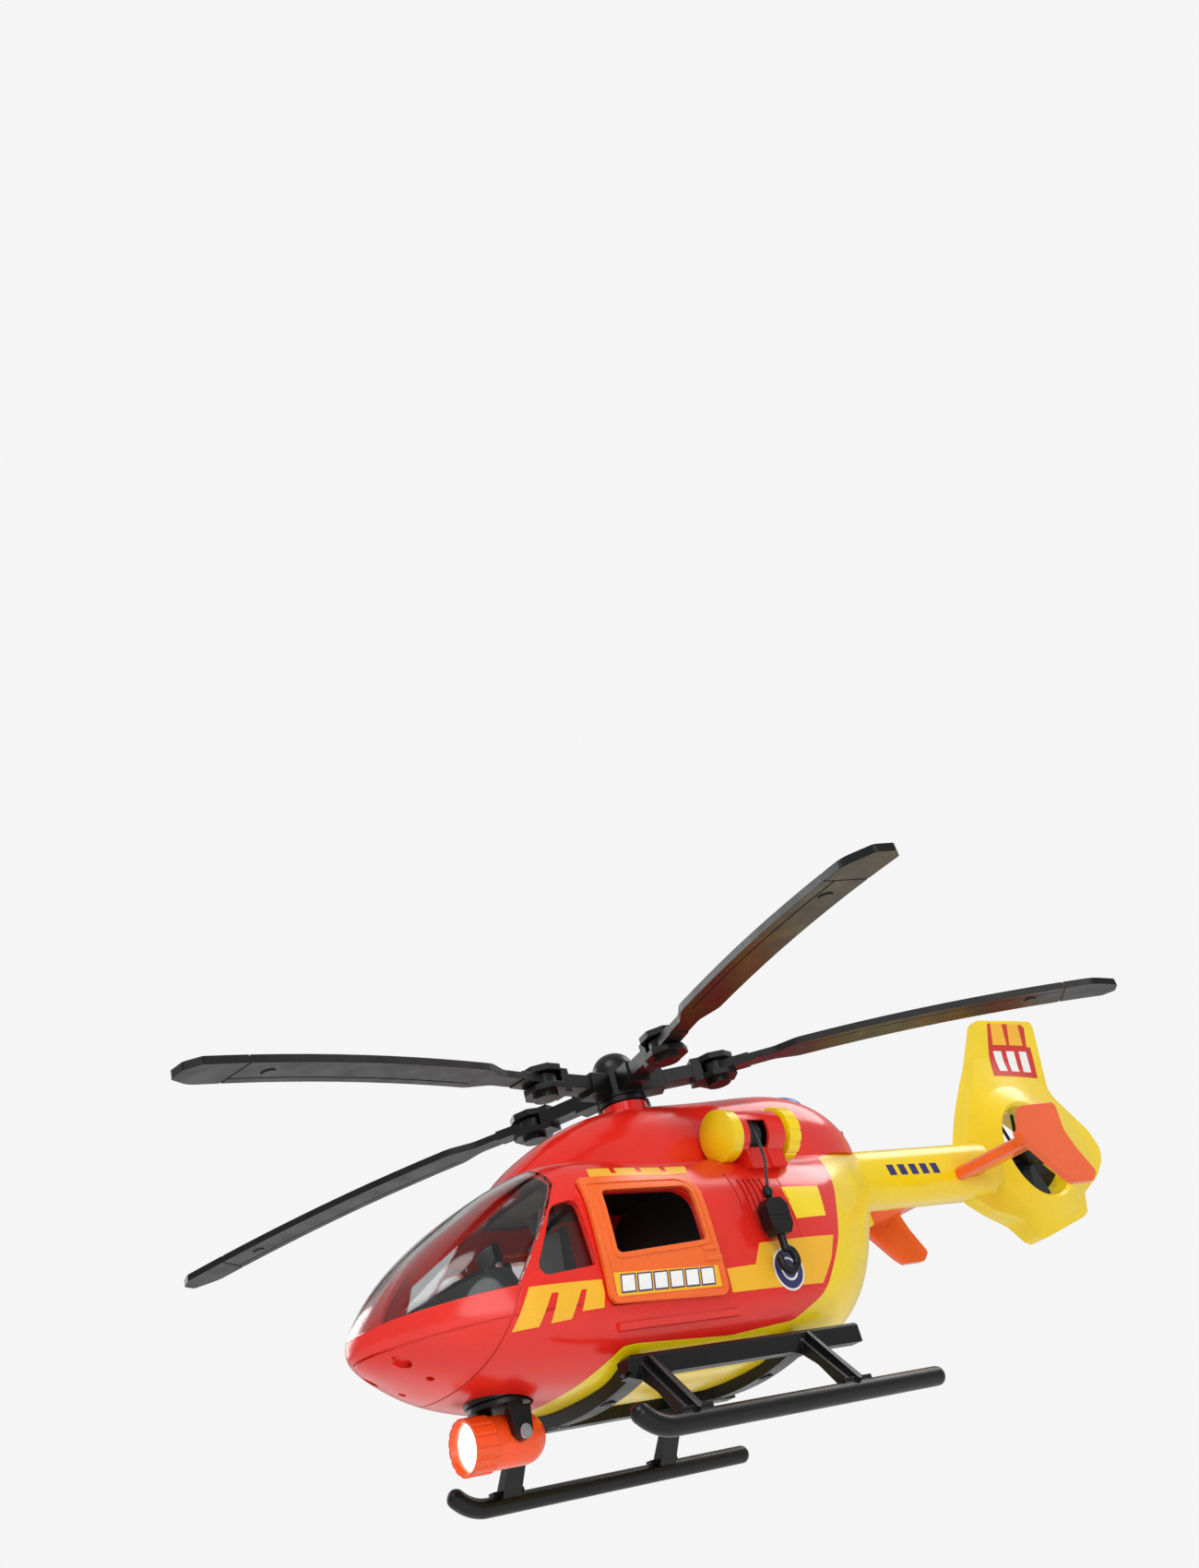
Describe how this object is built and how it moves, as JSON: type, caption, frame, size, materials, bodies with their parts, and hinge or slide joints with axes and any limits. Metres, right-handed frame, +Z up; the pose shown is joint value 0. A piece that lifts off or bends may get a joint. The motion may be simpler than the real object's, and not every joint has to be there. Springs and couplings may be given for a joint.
{
  "type": "toy helicopter",
  "caption": "Toy rescue helicopter with folding rotor blades, ducted tail fan, skid landing gear, sliding side doors, working hook winch and turning nose lamp.",
  "frame": {"origin": "on the ground plane under the rotor mast's axis, midway between the skids", "axes": "+X towards the nose, +Y to port, +Z up along the mast"},
  "size_m": [0.4128, 0.3047, 0.1412],
  "materials": {
    "red_plastic": "satin",
    "yellow_plastic": "satin",
    "winch_yellow": "satin",
    "black_plastic": "satin",
    "grey_plastic": "matte",
    "blade_black": "satin",
    "door_orange": "satin",
    "lamp_orange": "satin",
    "tail_orange": "satin",
    "hook_yellow": "satin",
    "clear_plastic": "clear, glossy",
    "blue_clear": "tinted, glossy",
    "led_white": "glossy",
    "steel": "satin",
    "cord": "braided",
    "gear_white": "satin",
    "board_green": "satin",
    "cell_jacket": "satin",
    "speaker_black": "matte"
  },
  "bodies": {
    "fuselage": {"hull_shell": "red_plastic", "belly_tub": "yellow_plastic", "windscreen": "clear_plastic", "port_side_window": "clear_plastic", "starboard_side_window": "clear_plastic", "dashboard": "black_plastic", "cabin_floor": "grey_plastic", "seats": "black_plastic", "hull_screws": "steel", "tail_half_port": "yellow_plastic", "tail_half_starboard": "yellow_plastic", "tail_screws": "steel", "stabilizer": "tail_orange", "fan_axle": "steel", "landing_gear": "black_plastic", "gear_screws": "steel", "winch_housing": "red_plastic", "winch_cap": "winch_yellow", "spot_base": "black_plastic", "beacon_lens": "blue_clear", "beacon_led": "led_white", "gear_frame": "black_plastic", "motor": "steel", "battery_box": "black_plastic", "battery_cover": "yellow_plastic", "batteries": "cell_jacket", "battery_contacts": "steel", "circuit_board": "board_green", "speaker": "speaker_black", "switch_body": "black_plastic"},
    "rotor": {"rotor_hub": "black_plastic", "hub_cap": "black_plastic", "mast": "steel", "swash_disc": "black_plastic", "blade_screws": "steel", "main_gear": "gear_white"},
    "motor_pinion": {"pinion": "gear_white"},
    "port_door": {"port_door": "door_orange"},
    "starboard_door": {"starboard_door": "door_orange"},
    "winch_drum": {"winch_drum": "black_plastic", "winch_knob": "winch_yellow", "winch_winding": "cord"},
    "hook": {"winch_cord": "cord", "cord_knot": "black_plastic", "hook_block": "hook_yellow", "hook": "steel"},
    "spot_yoke": {"spot_yoke": "black_plastic", "spot_pins": "steel"},
    "spot_lamp": {"spot_lamp_body": "lamp_orange", "spot_bezel": "lamp_orange", "spot_lens": "clear_plastic", "spot_led": "led_white"},
    "tail_fan": {"tail_fan": "black_plastic"},
    "rear_button": {"rear_button": "yellow_plastic"},
    "power_switch": {"power_switch": "black_plastic"},
    "blade_1": {"blade_1": "blade_black"},
    "blade_2": {"blade_2": "blade_black"},
    "blade_3": {"blade_3": "blade_black"},
    "blade_4": {"blade_4": "blade_black"},
    "blade_5": {"blade_5": "blade_black"}
  },
  "joints": [
    {"name": "rotor_spin", "type": "hinge", "parent": "fuselage", "child": "rotor", "pos_m": [0, 0, 0.111], "axis": [0, 0, 1], "continuous": true},
    {"name": "pinion_spin", "type": "hinge", "parent": "fuselage", "child": "motor_pinion", "pos_m": [-0.015, 0, 0.088], "axis": [0, 0, 1], "continuous": true},
    {"name": "blade_1_fold", "type": "hinge", "parent": "rotor", "child": "blade_1", "pos_m": [0.0331, 0.00447, 0.111], "axis": [0, 0, 1], "range_deg": [-35.2, 24.8]},
    {"name": "blade_2_fold", "type": "hinge", "parent": "rotor", "child": "blade_2", "pos_m": [0.00597, 0.03286, 0.111], "axis": [0, 0, 1], "range_deg": [-24.6, 35.4]},
    {"name": "blade_3_fold", "type": "hinge", "parent": "rotor", "child": "blade_3", "pos_m": [-0.02941, 0.01583, 0.111], "axis": [0, 0, 1], "range_deg": [-15, 45]},
    {"name": "blade_4_fold", "type": "hinge", "parent": "rotor", "child": "blade_4", "pos_m": [-0.02415, -0.02307, 0.111], "axis": [0, 0, 1], "range_deg": [-30, 30]},
    {"name": "blade_5_fold", "type": "hinge", "parent": "rotor", "child": "blade_5", "pos_m": [0.01448, -0.0301, 0.111], "axis": [0, 0, 1], "range_deg": [-38.5, 21.5]},
    {"name": "port_door_slide", "type": "slide", "parent": "fuselage", "child": "port_door", "axis": [-1, 0, 0], "range_m": [0, 0.0346]},
    {"name": "starboard_door_slide", "type": "slide", "parent": "fuselage", "child": "starboard_door", "axis": [-1, 0, 0], "range_m": [0, 0.0346]},
    {"name": "winch_turn", "type": "hinge", "parent": "fuselage", "child": "winch_drum", "pos_m": [-0.0226, 0.026, 0.0839], "axis": [1, 0, 0], "range_deg": [-195, 109]},
    {"name": "hook_travel", "type": "slide", "parent": "fuselage", "child": "hook", "axis": [0, 0, 1], "range_m": [-0.0161, 0.0091], "deforming": ["winch_cord"]},
    {"name": "spot_pan", "type": "hinge", "parent": "fuselage", "child": "spot_yoke", "pos_m": [0.0696, 0, 0.021], "axis": [0, 0, 1], "range_deg": [-60, 60]},
    {"name": "spot_tilt", "type": "hinge", "parent": "spot_yoke", "child": "spot_lamp", "pos_m": [0.0696, 0, 0.0126], "axis": [0, 1, 0], "range_deg": [-3, 12]},
    {"name": "fan_spin", "type": "hinge", "parent": "fuselage", "child": "tail_fan", "pos_m": [-0.196, 0, 0.082], "axis": [0, 1, 0], "continuous": true},
    {"name": "button_press", "type": "slide", "parent": "fuselage", "child": "rear_button", "axis": [1, 0, 0], "range_m": [0, 0.0015], "stiffness_N_per_m": 150, "springref_m": -0.0005},
    {"name": "power_slide", "type": "slide", "parent": "fuselage", "child": "power_switch", "axis": [1, 0, 0], "range_m": [0, 0.003]}
  ],
  "couplings": [
    {"joint": "pinion_spin", "follows": "rotor_spin", "ratio": -4},
    {"joint": "hook_travel", "follows": "winch_turn", "m_per_rad": 0.0047}
  ]
}
